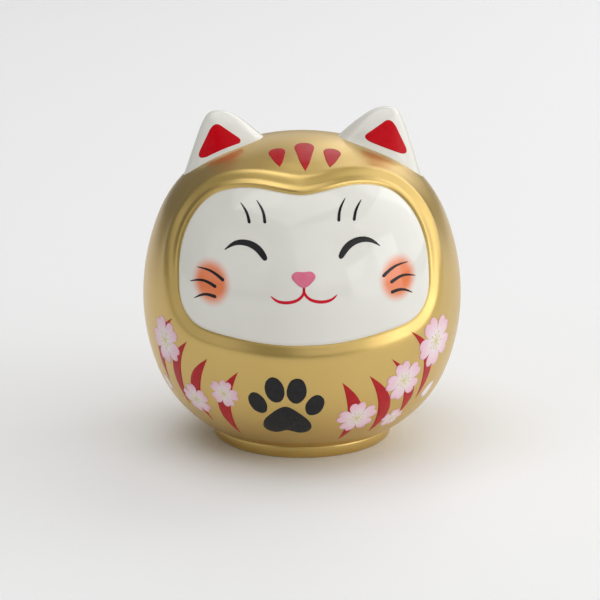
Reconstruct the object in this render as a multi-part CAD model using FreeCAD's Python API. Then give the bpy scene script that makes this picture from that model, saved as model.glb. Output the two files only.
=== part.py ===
import FreeCAD, Part
import functools
import math
import os

# Cat daruma coin bank: a slip-cast ceramic round body luted onto a base with a foot ring, two
# ears, a sunk white face, fired colour transfers, and a pull-out rubber stopper underneath.
# Millimetres. +Z up, the face looks along -Y, origin at the middle of the foot ring's base.

V = FreeCAD.Vector
UP = V(0, 0, 1)

# ---------------------------------------------------------------- driving dimensions
# The body is a surface of revolution, drawn as tangent arcs from the equator up and down.
EQUATOR_RADIUS = 60.0
EQUATOR_HEIGHT = 54.4
UPPER_FLANK_RADIUS = 82.0
UPPER_FLANK_END = 23.0          # degrees above the horizontal
SHOULDER_RADIUS = 44.5
SHOULDER_END = 69.0
LOWER_FLANK_RADIUS = 74.0
LOWER_FLANK_END = 20.5          # degrees below the horizontal
UNDERSIDE_RADIUS = 44.6
UNDERSIDE_END = 62.3
WALL = 5.0

FOOT_OUTER_RADIUS = 34.5        # where it is widest, just under the body
FOOT_WIDEST_HEIGHT = 3.6
FOOT_SIDE_BULGE = (34.1, 1.2)  # (radius, height) half way round its side
FOOT_REST_RADIUS = 32.8         # outside of the flat resting face
FOOT_INNER_RADIUS = 28.6
FOOT_EDGE = 0.8                 # rounding of the resting face's inner edge

SLOT_WIDTH = 36.0
SLOT_HEIGHT = 5.0
SLOT_CENTRE_HEIGHT = 92.5

STOPPER_HOLE_RADIUS = 15.5
STOPPER_CLEARANCE = 0.3
STOPPER_FLANGE_RADIUS = 19.5
STOPPER_FLANGE_THICKNESS = 2.0
STOPPER_NECK_RADIUS = 14.2
STOPPER_LIP_HEIGHT = 2.2
STOPPER_DISH_RADIUS = 9.0

FACE_DEPTH = 1.3                # white face below the body's surface
FACE_MARGIN = 0.8               # how far the pocket runs past the face's outline
FACE_THICKNESS = 1.2
MUZZLE_RADIUS = 24.0
MUZZLE_RISE = 1.6
MUZZLE_HEIGHT = 70.0
COVE_REACH = 3.6                # lowered step round the face
COVE_DEPTH = 0.6
CREST_START = 4.6               # raised rim round that
CREST_END = 8.4
CREST_RISE = 0.4
FACE_LEAN = 1.3                 # degrees that the face and its marks lean, right side up
LEAN_CENTRE = (-0.4, 70.0)
MARKS_SHIFT = -0.6              # the painted marks sit a little to the left of the outline

FILM = 0.15                     # thickness of a fired transfer
SMALLEST_PATCH = 0.3            # mm3; slivers of transfer smaller than this are left out
CUT_FRONT = -76.0               # how far the cutters that run front to back reach
CUT_MIDDLE = -18.0

# ---------------------------------------------------------------- outlines, (x, z) or (azimuth, height)
# Right half of the face's edge, from the dip under the forehead round to the chin.
FACE_EDGE = [(4.8, 101.9), (10.2, 102.7), (17.2, 103.5), (25.0, 102.9), (32.6, 100.2),
             (38.8, 94.7), (43.0, 87.6), (45.3, 79.6), (45.9, 70.6), (45.0, 62.2),
             (41.2, 56.8), (33.8, 54.3), (24.2, 52.9), (12.4, 51.5)]
FACE_TOP = (0.0, 101.5)
FACE_CHIN = (0.0, 51.1)

# Ears as a stack of ellipses: height, outer edge, inner edge, half depth.
EAR_SECTIONS = [(92.0, 46.3, -8.0, 17.0), (100.0, 44.4, 0.0, 14.8), (107.5, 42.1, 6.5, 11.8),
                (114.0, 39.8, 13.0, 8.6), (119.0, 38.0, 18.4, 5.9), (122.6, 36.1, 23.4, 3.9),
                (124.8, 34.0, 27.4, 2.4), (125.6, 32.4, 29.8, 1.1)]
EAR_SET_BACK = 1.0
EAR_OFFSET = {"left": 0.0, "right": 0.3}
EAR_DROP = {"left": 1.7, "right": 0.4}
EAR_INNER = [(32.4, 121.3), (34.0, 120.1), (38.3, 111.0), (38.2, 109.6), (36.8, 109.4),
             (23.7, 114.4), (22.8, 115.6), (23.7, 116.9), (30.4, 121.1)]

# Crescent stripes of the robe: top tip, two points down the outer edge, bottom tip and two
# points back up the inner edge, each as (azimuth in degrees, height).
STRIPES = {
    "left": [
        [(-52.3, 54.8), (-62.6, 47.2), (-65.4, 36.8), (-63.4, 28.0), (-62.2, 35.6), (-59.0, 45.4)],
        [(-44.9, 47.6), (-53.6, 40.6), (-56.4, 29.8), (-54.4, 20.6), (-52.4, 29.4), (-49.6, 39.4)],
        [(-36.0, 42.8), (-45.0, 35.2), (-47.6, 24.6), (-44.2, 15.4), (-43.6, 24.6), (-40.4, 34.6)],
        [(-24.0, 39.5), (-32.2, 31.6), (-35.6, 19.6), (-31.8, 11.3), (-30.8, 19.4), (-28.2, 29.8)]],
    "right": [
        [(13.0, 36.2), (19.6, 29.6), (22.8, 17.8), (17.0, 9.7), (17.4, 17.2), (15.8, 27.2)],
        [(23.0, 37.8), (31.6, 30.6), (35.8, 19.0), (32.0, 11.8), (31.0, 18.8), (27.8, 28.8)],
        [(31.2, 43.2), (40.6, 36.2), (46.6, 24.8), (44.0, 18.4), (41.8, 25.0), (37.4, 34.8)],
        [(39.4, 52.0), (48.6, 45.4), (53.6, 33.0), (50.4, 23.2), (49.4, 33.2), (45.8, 43.2)]]}

# Blossoms: azimuth, height, outer radius, roll in degrees.
BLOSSOMS = [(-58.0, 45.2, 9.3, 20.0), (-47.0, 24.4, 6.8, 10.0), (-31.3, 29.8, 6.0, 52.0),
            (21.3, 20.4, 7.9, 8.0), (38.9, 33.2, 8.4, 20.0), (53.4, 45.4, 10.2, 34.0),
            (40.6, 16.8, 5.0, 0.0)]
# Half a petal from the valley between two petals to its notch: part of the radius, degrees.
HALF_PETAL = [(0.36, 36.0), (0.78, 25.0), (0.98, 11.0), (0.84, 0.0)]
LOOSE_PETALS = [(57.6, 25.2, 4.0, 140.0), (-66.6, 26.4, 3.6, 200.0)]

# Forehead marks: x of the middle, y of the middle, length, width, roll in degrees.
FOREHEAD_MARKS = {"left": (-9.2, -24.9, 14.2, 6.0, 4.0),
                  "centre": (0.4, -24.8, 21.4, 7.2, 0.0),
                  "right": (10.0, -25.2, 14.4, 6.2, -5.0)}

# Paw print on the belly: azimuth and height of its middle, then its pads as
# (across, up, half width, half height, roll in degrees).
PAW_PLACE = (-7.4, 24.6)
PAW_PADS = [(-10.2, 3.0, 3.3, 4.9, 24.0), (-3.7, 9.6, 3.6, 5.5, 8.0),
            (4.3, 9.4, 3.6, 5.5, -8.0), (10.6, 2.6, 3.3, 4.9, -24.0)]
PAW_HEEL = [(0.0, 2.4), (4.6, -0.6), (8.6, -6.4), (8.2, -10.8), (4.2, -12.4), (0.0, -10.6),
            (-4.2, -12.4), (-8.2, -10.8), (-8.6, -6.4), (-4.6, -0.6)]

# Strokes on the face, mirrored about the middle line: points (x, z) along the middle of the
# stroke, then its full width at each point.
EYE = ([(27.3, 82.8), (23.6, 85.2), (19.6, 85.6), (15.8, 84.0), (12.8, 80.2)],
       [0.3, 1.4, 2.1, 2.4, 1.4])
BROWS = [([(21.3, 98.1), (20.0, 95.2), (18.3, 91.9)], [0.3, 0.9, 1.0]),
         ([(15.6, 99.1), (14.1, 95.8), (12.9, 92.1)], [0.3, 0.9, 1.0])]
WHISKERS = [([(37.3, 75.8), (32.4, 75.2), (27.8, 72.4)], [0.3, 0.9, 1.2]),
            ([(40.0, 70.5), (35.2, 71.6), (30.6, 69.9)], [0.3, 0.9, 1.2]),
            ([(38.7, 64.9), (34.6, 66.9), (30.7, 66.5)], [0.3, 0.9, 1.2])]
MOUTH = ([(0.0, 71.8), (0.1, 69.6), (1.6, 67.0), (4.4, 65.6), (7.2, 65.4), (9.8, 66.3), (11.5, 68.2)],
         [0.8, 0.9, 1.0, 1.1, 1.1, 0.9, 0.3])
NOSE = [(0.0, 76.6), (3.2, 76.4), (4.1, 75.2), (3.0, 73.2), (0.0, 71.4), (-3.0, 73.2),
        (-4.1, 75.2), (-3.2, 76.4)]


# ---------------------------------------------------------------- the body's form
def arc_centres():
    """Centres (radius, height) of the five arcs of the section."""
    upper = (EQUATOR_RADIUS - UPPER_FLANK_RADIUS, EQUATOR_HEIGHT)
    shoulder = along(upper, UPPER_FLANK_RADIUS - SHOULDER_RADIUS, UPPER_FLANK_END)
    reach = shoulder[0] / math.cos(math.radians(SHOULDER_END))
    crown = (0.0, shoulder[1] - reach * math.sin(math.radians(SHOULDER_END)))
    lower = (EQUATOR_RADIUS - LOWER_FLANK_RADIUS, EQUATOR_HEIGHT)
    under = along(lower, LOWER_FLANK_RADIUS - UNDERSIDE_RADIUS, -LOWER_FLANK_END)
    return upper, shoulder, crown, lower, under


def along(point, distance, degrees):
    """The point at a distance and angle from another, in the section plane."""
    angle = math.radians(degrees)
    return (point[0] + distance * math.cos(angle), point[1] + distance * math.sin(angle))


def section_arcs(offset):
    """(centre, radius, start angle, end angle) from the foot up to the crown."""
    upper, shoulder, crown, lower, under = arc_centres()
    crown_radius = SHOULDER_RADIUS + math.hypot(shoulder[0], shoulder[1] - crown[1])
    return [(under, UNDERSIDE_RADIUS + offset, -UNDERSIDE_END, -LOWER_FLANK_END),
            (lower, LOWER_FLANK_RADIUS + offset, -LOWER_FLANK_END, 0.0),
            (upper, UPPER_FLANK_RADIUS + offset, 0.0, UPPER_FLANK_END),
            (shoulder, SHOULDER_RADIUS + offset, UPPER_FLANK_END, SHOULDER_END),
            (crown, crown_radius + offset, SHOULDER_END, 90.0)]


def surface_radius(height):
    """Radius of the body's outside at a height."""
    for centre, radius, start, end in section_arcs(0.0):
        if height <= along(centre, radius, end)[1]:
            return centre[0] + math.sqrt(radius ** 2 - (height - centre[1]) ** 2)
    return 0.0


def front_normal(x, z):
    """Outward normal of the body's front half at (x, z)."""
    step = 0.05
    narrowing = (surface_radius(z - step) - surface_radius(z + step)) / (2 * step)
    turn = math.asin(x / surface_radius(z))
    normal = V(math.sin(turn), -math.cos(turn), narrowing)
    return normal.normalize()


def surface_height(radius):
    """Height of the upper half of the body's outside at a distance from the axis."""
    for centre, size, start, end in section_arcs(0.0)[2:]:
        if radius >= along(centre, size, end)[0] - 1e-6:
            return centre[1] + math.sqrt(size ** 2 - (radius - centre[0]) ** 2)
    return EQUATOR_HEIGHT


def section_edges(offset):
    """The arcs as edges in the XZ plane, from the foot up to the crown."""
    edges = []
    for centre, radius, start, end in section_arcs(offset):
        ends = [along(centre, radius, angle) for angle in (start, (start + end) / 2, end)]
        first, middle, last = [V(r, 0, z) for r, z in ends]
        edges.append(Part.Arc(first, middle, last).toShape())
    return edges


def turned(edges):
    """Solid of revolution about Z of a closed half section."""
    face = Part.Face(Part.Wire(Part.sortEdges(edges)[0]))
    return face.revolve(V(0, 0, 0), UP, 360)


def line(start, end):
    """Straight edge in the section plane, ends as (radius, height)."""
    return Part.LineSegment(V(start[0], 0, start[1]), V(end[0], 0, end[1])).toShape()


def body_form(offset):
    """Closed solid of the round body, grown or shrunk by an offset, flat underneath."""
    arcs = section_arcs(offset)
    bottom = along(arcs[0][0], arcs[0][1], arcs[0][2])
    top = along(arcs[-1][0], arcs[-1][1], 90.0)
    edges = section_edges(offset)
    edges.append(line((0.0, bottom[1]), bottom))
    edges.append(line((0.0, bottom[1]), (0.0, top[1])))
    return turned(edges)


def quarter(centre, radius, start):
    """Rounded edge: a quarter circle in the section plane."""
    ends = [along(centre, radius, start + turn) for turn in (0.0, 45.0, 90.0)]
    first, middle, last = [V(r, 0, z) for r, z in ends]
    return Part.Arc(first, middle, last).toShape()


def foot_neck():
    """(radius, height) where the underside meets the foot ring; the base is level with it."""
    under, radius, start, end = section_arcs(0.0)[0]
    return along(under, radius, start)


def make_foot_base():
    """Base floor with the stopper's hole, on a round-sided foot ring with a flat resting face."""
    neck = foot_neck()
    floor = foot_floor()
    inside = FOOT_INNER_RADIUS - FOOT_EDGE
    inner = (FOOT_INNER_RADIUS + FOOT_EDGE, FOOT_EDGE)
    side = [(FOOT_OUTER_RADIUS, FOOT_WIDEST_HEIGHT), FOOT_SIDE_BULGE, (FOOT_REST_RADIUS, 0.0)]
    edges = [line((STOPPER_HOLE_RADIUS, neck[1]), (STOPPER_HOLE_RADIUS, floor[1])),
             line((STOPPER_HOLE_RADIUS, floor[1]), floor),
             line(floor, neck),
             line(neck, (FOOT_OUTER_RADIUS, FOOT_WIDEST_HEIGHT)),
             Part.Arc(*[V(r, 0, z) for r, z in side]).toShape(),
             line(side[-1], (inner[0], 0.0)),
             quarter(inner, FOOT_EDGE, 180.0),
             line((FOOT_INNER_RADIUS, FOOT_EDGE), (inside, neck[1])),
             line((inside, neck[1]), (STOPPER_HOLE_RADIUS, neck[1]))]
    return turned(edges)


def foot_floor():
    """(radius, height) of the corner between the base floor and the hollow."""
    under, radius, start, end = section_arcs(-WALL)[0]
    return along(under, radius, start)


# ---------------------------------------------------------------- outlines and cutters
def leaned(point):
    """A face point (x, z) turned by the face's lean."""
    angle = math.radians(FACE_LEAN)
    across = point[0] - LEAN_CENTRE[0]
    above = point[1] - LEAN_CENTRE[1]
    return (LEAN_CENTRE[0] + across * math.cos(angle) - above * math.sin(angle),
            LEAN_CENTRE[1] + across * math.sin(angle) + above * math.cos(angle))


def front_place(point):
    """Where a face point (x, z) goes: a leaned point on the plane in front of the body."""
    across, height = leaned(point)
    return V(across, CUT_FRONT, height)


def mark_place(point):
    """The same for a point of a painted mark."""
    return front_place((point[0] + MARKS_SHIFT, point[1]))


def spline(points, closed=False):
    """Smooth edge through the points."""
    curve = Part.BSplineCurve()
    curve.interpolate(Points=points, PeriodicFlag=closed)
    return curve.toShape()


def front_cutter(edges):
    """Prism from the plane in front of the body to its middle, from a closed outline."""
    face = Part.Face(Part.Wire(edges))
    return face.extrude(V(0, CUT_MIDDLE - CUT_FRONT, 0))


def face_outline(grow):
    """Closed outline of the face, grown along the body's surface."""
    right = FACE_EDGE
    left = [(-x, z) for x, z in reversed(right)]
    points = [FACE_TOP] + right + [FACE_CHIN] + left
    count = len(points)
    moved = []
    for index, (x, z) in enumerate(points):
        before = points[index - 1]
        after = points[(index + 1) % count]
        run = math.hypot(after[0] - before[0], after[1] - before[1])
        outward = ((before[1] - after[1]) / run, (after[0] - before[0]) / run)
        normal = front_normal(x, z)
        deepening = (normal.x * outward[0] + normal.z * outward[1]) / normal.y
        step = grow / math.hypot(1.0, deepening)
        moved.append((x + step * outward[0], z + step * outward[1]))
    return [front_place(point) for point in moved]


def face_cutter(grow=0.0):
    """Prism of the pocket's outline."""
    return front_cutter([spline(face_outline(FACE_MARGIN + grow), closed=True)])


def stroke_edges(points, widths, place):
    """Closed outline of a brush stroke: both sides along its middle line, and its end."""
    sides = ([], [])
    last = len(points) - 1
    for index, (x, z) in enumerate(points):
        before = points[max(index - 1, 0)]
        after = points[min(index + 1, last)]
        run = math.hypot(after[0] - before[0], after[1] - before[1])
        normal = (-(after[1] - before[1]) / run, (after[0] - before[0]) / run)
        half = widths[index] / 2
        sides[0].append(place((x + normal[0] * half, z + normal[1] * half)))
        sides[1].append(place((x - normal[0] * half, z - normal[1] * half)))
    ends = [Part.LineSegment(sides[0][0], sides[1][0]).toShape(),
            Part.LineSegment(sides[1][-1], sides[0][-1]).toShape()]
    return [spline(sides[0]), ends[1], spline(sides[1]), ends[0]]


def mirrored(points):
    """The same (x, z) points on the other side."""
    return [(-x, z) for x, z in points]


def face_strokes(strokes, side):
    """Cutters for a list of strokes on one side of the face."""
    cutters = []
    for points, widths in strokes:
        if side == "left":
            points = mirrored(points)
        edges = stroke_edges(points, widths, mark_place)
        cutters.append(front_cutter(Part.sortEdges(edges)[0]))
    return cutters


def face_form(offset):
    """Closed solid whose front is the white face's surface, muzzle included."""
    base = body_form(offset - FACE_DEPTH)
    front = surface_radius(MUZZLE_HEIGHT) - FACE_DEPTH + MUZZLE_RISE
    middle = leaned((0.0, MUZZLE_HEIGHT))
    centre = V(middle[0], MUZZLE_RADIUS - front, middle[1])
    return base.fuse(Part.makeSphere(MUZZLE_RADIUS + offset, centre))


class Patch:
    """Flat frame that touches the body at an azimuth and height, for outlines drawn on it."""

    reach = 9.0

    def __init__(self, azimuth, height, roll=0.0):
        self.origin = on_body(azimuth, height)
        step = 0.05
        rise = on_body(azimuth, height + step) - on_body(azimuth, height - step)
        side = V(math.cos(math.radians(azimuth)), math.sin(math.radians(azimuth)), 0)
        rise.normalize()
        self.normal = side.cross(rise)
        turn = FreeCAD.Rotation(self.normal, roll)
        self.side = turn.multVec(side)
        self.rise = turn.multVec(rise)

    def place(self, point):
        """A point of the frame (across, up), pulled back under the surface."""
        flat = self.origin + self.side * point[0] + self.rise * point[1]
        return flat - self.normal * self.reach

    def drop(self, point):
        """The frame's (across, up) of a point of the body."""
        away = point - self.origin
        return (away.dot(self.side), away.dot(self.rise))

    def cutter(self, edges):
        """Prism through the surface along the frame's normal."""
        face = Part.Face(Part.Wire(edges))
        return face.extrude(self.normal * (2 * self.reach))


def on_body(azimuth, height):
    """Point of the body's outside. Azimuth 0 is the front, positive towards +X."""
    angle = math.radians(azimuth)
    radius = surface_radius(height)
    return V(radius * math.sin(angle), -radius * math.cos(angle), height)


@functools.lru_cache
def crest_prism():
    """Prism of the raised rim's plan."""
    return face_cutter(CREST_END).cut(face_cutter(CREST_START))


@functools.lru_cache
def body_outside(grow):
    """Round body with the raised rim, grown by an amount."""
    return body_form(grow).fuse(body_form(CREST_RISE + grow).common(crest_prism()))


@functools.lru_cache
def body_skin():
    """Thin skin over the body and its raised rim."""
    return body_outside(FILM).cut(body_outside(0.0))


@functools.lru_cache
def face_skin():
    """Thin skin over the white face."""
    return face_form(FILM).cut(face_form(0.0))


def body_film(cutters):
    """Transfer on the body: the part of the skin inside the cutters."""
    film = body_skin().common(Part.makeCompound(cutters))
    return Part.makeCompound([patch for patch in film.Solids if patch.Volume > SMALLEST_PATCH])


def face_film(cutters):
    """Transfer on the white face."""
    return face_skin().common(Part.makeCompound(cutters))


# ---------------------------------------------------------------- ceramic pieces
def coin_slot():
    """Cutter for the slot in the back of the head, with round ends."""
    half = SLOT_WIDTH / 2 - SLOT_HEIGHT / 2
    low = SLOT_CENTRE_HEIGHT - SLOT_HEIGHT / 2
    box = Part.makeBox(2 * half, EQUATOR_RADIUS, SLOT_HEIGHT, V(-half, 10.0, low))
    cutter = box
    for side in (-1, 1):
        end = V(side * half, 10.0, SLOT_CENTRE_HEIGHT)
        cutter = cutter.fuse(Part.makeCylinder(SLOT_HEIGHT / 2, EQUATOR_RADIUS, end, V(0, 1, 0)))
    return cutter.removeSplitter()


def base_opening():
    """Cutter for the shell's open bottom, a cone across its wall that the base fills."""
    neck = foot_neck()
    floor = foot_floor()
    edges = [line((0.0, neck[1]), neck), line(neck, floor),
             line(floor, (0.0, floor[1])), line((0.0, floor[1]), (0.0, neck[1]))]
    return turned(edges)


def make_body_shell():
    """Hollow casting, open underneath: round body, rim round the face, pocket and coin slot."""
    cove = face_cutter(COVE_REACH).cut(body_form(-COVE_DEPTH))
    pocket = face_cutter().cut(body_form(-FACE_DEPTH - FACE_THICKNESS))
    shell = body_outside(0.0)
    for cutter in (cove, pocket, body_form(-WALL), base_opening(), coin_slot()):
        shell = shell.cut(cutter)
    return shell


def make_face_panel():
    """White face: the lining of the pocket, with the muzzle."""
    back = body_form(-FACE_DEPTH - FACE_THICKNESS)
    return face_form(0.0).common(face_cutter()).cut(back)


def ear_form(side, grow):
    """Solid of one ear before it is fitted to the body, grown by an amount."""
    sign = -1 if side == "left" else 1
    wires = []
    for height, outer, inner, depth in EAR_SECTIONS:
        middle = sign * (outer + inner) / 2 + EAR_OFFSET[side]
        half = (outer - inner) / 2 + grow
        centre = V(middle, EAR_SET_BACK, height - EAR_DROP[side] + grow)
        oval = Part.Ellipse(centre, max(half, depth + grow), min(half, depth + grow))
        wires.append(Part.Wire(oval.toShape()))
    return Part.makeLoft(wires, True, False)


def make_ear(side):
    """Ear with its base cut to the crown it stands on."""
    return ear_form(side, 0.0).cut(body_form(0.0))


def make_ear_inner(side):
    """Red inside of an ear, on its front."""
    sign = -1 if side == "left" else 1
    points = [V(sign * x + EAR_OFFSET[side], CUT_FRONT, z - EAR_DROP[side]) for x, z in EAR_INNER]
    skin = ear_form(side, FILM).cut(ear_form(side, 0.0)).cut(body_form(0.0))
    face = Part.Face(Part.Wire([spline(points, closed=True)]))
    return skin.common(face.extrude(V(0, EAR_SET_BACK - CUT_FRONT, 0)))


# ---------------------------------------------------------------- transfers
def blossom_edges(patch, radius, petals=5):
    """Closed outline of a flower: half a petal is a straight side and an arc to the notch."""
    edges = []
    for petal in range(petals):
        middle = 90.0 + 360.0 * petal / petals
        for side in (-1, 1):
            corners = []
            for reach, turn in HALF_PETAL:
                point = along((0.0, 0.0), reach * radius, middle + side * turn)
                corners.append(patch.place(point))
            valley, shoulder, lobe, notch = corners
            edges.append(Part.LineSegment(valley, shoulder).toShape())
            edges.append(Part.Arc(shoulder, lobe, notch).toShape())
    return Part.sortEdges(edges)[0]


def petal_outline(radius):
    """Closed outline of one fallen petal with a notch."""
    return [(0.0, -radius), (0.62 * radius, -0.2 * radius), (0.5 * radius, 0.8 * radius),
            (0.0, 0.6 * radius), (-0.5 * radius, 0.8 * radius), (-0.62 * radius, -0.2 * radius)]


def patch_cutter(patch, points):
    """Prism of a smooth closed outline on a patch."""
    return patch.cutter([spline([patch.place(point) for point in points], closed=True)])


def blossom_cutter(azimuth, height, radius, roll):
    """Prism of one blossom."""
    patch = Patch(azimuth, height, roll)
    return patch.cutter(blossom_edges(patch, radius))


def stripe_cutter(stripe):
    """Prism of one crescent: its outer and inner edges meet at two sharp tips."""
    top, outer_high, outer_low, bottom, inner_low, inner_high = stripe
    middle = ((outer_high[0] + inner_low[0]) / 2, (outer_high[1] + inner_low[1]) / 2)
    patch = Patch(*middle)
    outer = [patch.drop(on_body(*point)) for point in (top, outer_high, outer_low, bottom)]
    inner = [patch.drop(on_body(*point)) for point in (bottom, inner_low, inner_high, top)]
    edges = [spline([patch.place(point) for point in side]) for side in (outer, inner)]
    return patch.cutter(edges)


def make_robe_stripes(side):
    """Four crescents on one side of the robe, left open where a blossom lies over them."""
    flowers = [blossom_cutter(*blossom) for blossom in BLOSSOMS]
    pieces = []
    for stripe in STRIPES[side]:
        crescent = body_film([stripe_cutter(stripe)])
        for flower in flowers:
            if flower.BoundBox.intersect(crescent.BoundBox):
                crescent = crescent.cut(flower)
        pieces += [piece for piece in crescent.Solids if piece.Volume > SMALLEST_PATCH]
    return Part.makeCompound(pieces)


def teardrop_edges(patch, length, width):
    """Wide round top and two long sides that meet in a sharp tip, as three arcs."""
    half = length / 2
    shoulder = half - 0.42 * width
    waist = shoulder - 0.5 * (half + shoulder)
    corners = [(-0.5 * width, shoulder), (0.0, half), (0.5 * width, shoulder),
               (0.34 * width, waist), (0.0, -half), (-0.34 * width, waist)]
    left, top, right, right_waist, tip, left_waist = [patch.place(point) for point in corners]
    return [Part.Arc(left, top, right).toShape(),
            Part.Arc(right, right_waist, tip).toShape(),
            Part.Arc(tip, left_waist, left).toShape()]


def make_forehead_mark(side):
    """One of the three marks on the forehead."""
    x, y, length, width, roll = FOREHEAD_MARKS[side]
    azimuth = math.degrees(math.atan2(x, -y))
    height = surface_height(math.hypot(x, y))
    patch = Patch(azimuth, height, roll - azimuth)
    return body_film([patch.cutter(teardrop_edges(patch, length, width))])


def ellipse_outline(across, up, half_width, half_height, roll, count=8):
    """Closed outline of a tilted oval."""
    turn = math.radians(roll)
    points = []
    for step in range(count):
        angle = 2 * math.pi * step / count
        x = half_width * math.cos(angle)
        z = half_height * math.sin(angle)
        points.append((across + x * math.cos(turn) - z * math.sin(turn),
                       up + x * math.sin(turn) + z * math.cos(turn)))
    return points


def make_chest_emblem():
    """Paw print brushed on the belly."""
    patch = Patch(*PAW_PLACE)
    pads = [patch_cutter(patch, ellipse_outline(*pad)) for pad in PAW_PADS]
    pads.append(patch_cutter(patch, PAW_HEEL))
    return body_film(pads)


def make_loose_petals():
    """Two fallen petals."""
    cutters = []
    for azimuth, height, radius, roll in LOOSE_PETALS:
        cutters.append(patch_cutter(Patch(azimuth, height, roll), petal_outline(radius)))
    return body_film(cutters)


def nose_cutter():
    """Prism of the nose's outline."""
    return front_cutter([spline([mark_place(point) for point in NOSE], closed=True)])


def make_mouth():
    """Two curls that meet under the nose, as one piece."""
    curls = face_strokes([MOUTH], "left") + face_strokes([MOUTH], "right")
    joined = curls[0].fuse(curls[1]).cut(nose_cutter())
    return face_film([joined])


def make_nose():
    """Small pink nose."""
    return face_film([nose_cutter()])


# ---------------------------------------------------------------- stopper
def make_stopper():
    """Rubber plug: flange under the base, neck through the hole, lip inside, dish to grip."""
    floor_top = foot_floor()[1]
    flange_top = foot_neck()[1] - STOPPER_CLEARANCE
    flange_bottom = flange_top - STOPPER_FLANGE_THICKNESS
    lip = STOPPER_HOLE_RADIUS - STOPPER_CLEARANCE
    lip_top = floor_top + STOPPER_LIP_HEIGHT
    dish = flange_bottom + 1.2
    outline = [(0.0, dish), (STOPPER_DISH_RADIUS, dish), (STOPPER_DISH_RADIUS + 1.2, flange_bottom),
               (STOPPER_FLANGE_RADIUS - 0.6, flange_bottom), (STOPPER_FLANGE_RADIUS, flange_bottom + 0.6),
               (STOPPER_FLANGE_RADIUS, flange_top - 0.5), (STOPPER_FLANGE_RADIUS - 0.5, flange_top),
               (STOPPER_NECK_RADIUS, flange_top), (STOPPER_NECK_RADIUS, floor_top - 1.0),
               (lip, floor_top + 0.2), (lip, floor_top + 0.8), (lip - 1.4, lip_top), (0.0, lip_top)]
    edges = []
    for start, end in zip(outline, outline[1:] + outline[:1]):
        edges.append(line(start, end))
    plug = turned(edges)
    grip = Part.makeBox(2 * STOPPER_DISH_RADIUS - 3.0, 2.4, 1.4,
                        V(1.5 - STOPPER_DISH_RADIUS, -1.2, flange_bottom))
    return plug.fuse(grip)


# ---------------------------------------------------------------- all the nodes
def make_all():
    """Every node by name."""
    nodes = {"body_shell": make_body_shell(),
             "foot_base": make_foot_base(),
             "face_panel": make_face_panel(),
             "stopper": make_stopper(),
             "nose": make_nose(),
             "mouth": make_mouth(),
             "chest_emblem": make_chest_emblem(),
             "loose_petals": make_loose_petals()}
    for side in ("left", "right"):
        nodes["ear_" + side] = make_ear(side)
        nodes["ear_inner_" + side] = make_ear_inner(side)
        nodes["eye_" + side] = face_film(face_strokes([EYE], side))
        nodes["brow_strokes_" + side] = face_film(face_strokes(BROWS, side))
        nodes["whiskers_" + side] = face_film(face_strokes(WHISKERS, side))
        nodes["robe_stripes_" + side] = make_robe_stripes(side)
    for side in ("left", "centre", "right"):
        nodes["forehead_mark_" + side] = make_forehead_mark(side)
    for number, blossom in enumerate(BLOSSOMS, start=1):
        nodes["blossom_%d" % number] = body_film([blossom_cutter(*blossom)])
    return nodes


def main():
    """Write each node to its own STEP file."""
    os.makedirs("parts", exist_ok=True)
    for name, shape in make_all().items():
        solids = shape.Solids
        if not solids or not shape.isValid():
            raise RuntimeError("bad shape: " + name)
        result = solids[0] if len(solids) == 1 else Part.makeCompound(solids)
        result.exportStep("parts/%s.step" % name)
        print("%-22s %d solids %10.1f mm3" % (name, len(solids), result.Volume))


main()
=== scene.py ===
import math
import bpy
import numpy as np
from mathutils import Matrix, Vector


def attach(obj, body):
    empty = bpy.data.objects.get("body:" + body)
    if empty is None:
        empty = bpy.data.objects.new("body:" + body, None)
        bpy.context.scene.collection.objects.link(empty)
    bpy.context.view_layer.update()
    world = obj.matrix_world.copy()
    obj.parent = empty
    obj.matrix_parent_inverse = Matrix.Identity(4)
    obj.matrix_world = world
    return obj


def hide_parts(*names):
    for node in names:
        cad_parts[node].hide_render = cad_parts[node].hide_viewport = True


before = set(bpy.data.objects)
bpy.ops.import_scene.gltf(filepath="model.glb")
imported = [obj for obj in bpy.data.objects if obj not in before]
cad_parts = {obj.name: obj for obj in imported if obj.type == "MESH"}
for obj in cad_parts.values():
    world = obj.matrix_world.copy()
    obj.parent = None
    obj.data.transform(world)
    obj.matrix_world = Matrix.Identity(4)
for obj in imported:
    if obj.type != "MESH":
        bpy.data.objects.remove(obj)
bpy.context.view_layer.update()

# Cat daruma coin bank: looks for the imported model. Sizes below are millimetres, as in the CAD
# model, and MM turns them into scene units. The face looks along -Y.
MM = 0.001

# ---------------------------------------------------------------- driving dimensions
EQUATOR_RADIUS = 60.0
EQUATOR_HEIGHT = 54.4
UPPER_FLANK_RADIUS = 82.0
UPPER_FLANK_END = 23.0
SHOULDER_RADIUS = 44.5
SHOULDER_END = 69.0
LOWER_FLANK_RADIUS = 74.0
LOWER_FLANK_END = 20.5
UNDERSIDE_RADIUS = 44.6
UNDERSIDE_END = 62.3
WALL = 5.0

FOOT_OUTER_RADIUS = 34.5        # where it is widest, just under the body
FOOT_TOP_EDGE = 0.2             # softening of the ledge under the body
FOOT_REST_RADIUS = 32.8         # outside of the flat resting face
FOOT_INNER_RADIUS = 28.6
FOOT_EDGE = 0.8
HOLE_RADIUS = 15.5

SLOT_WIDTH = 36.0
SLOT_HEIGHT = 5.0
SLOT_CENTRE_HEIGHT = 92.5
SLOT_STRAIGHT = SLOT_WIDTH / 2 - SLOT_HEIGHT / 2
SLOT_LIP = 1.1                  # rounding of the slot's edge

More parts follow.
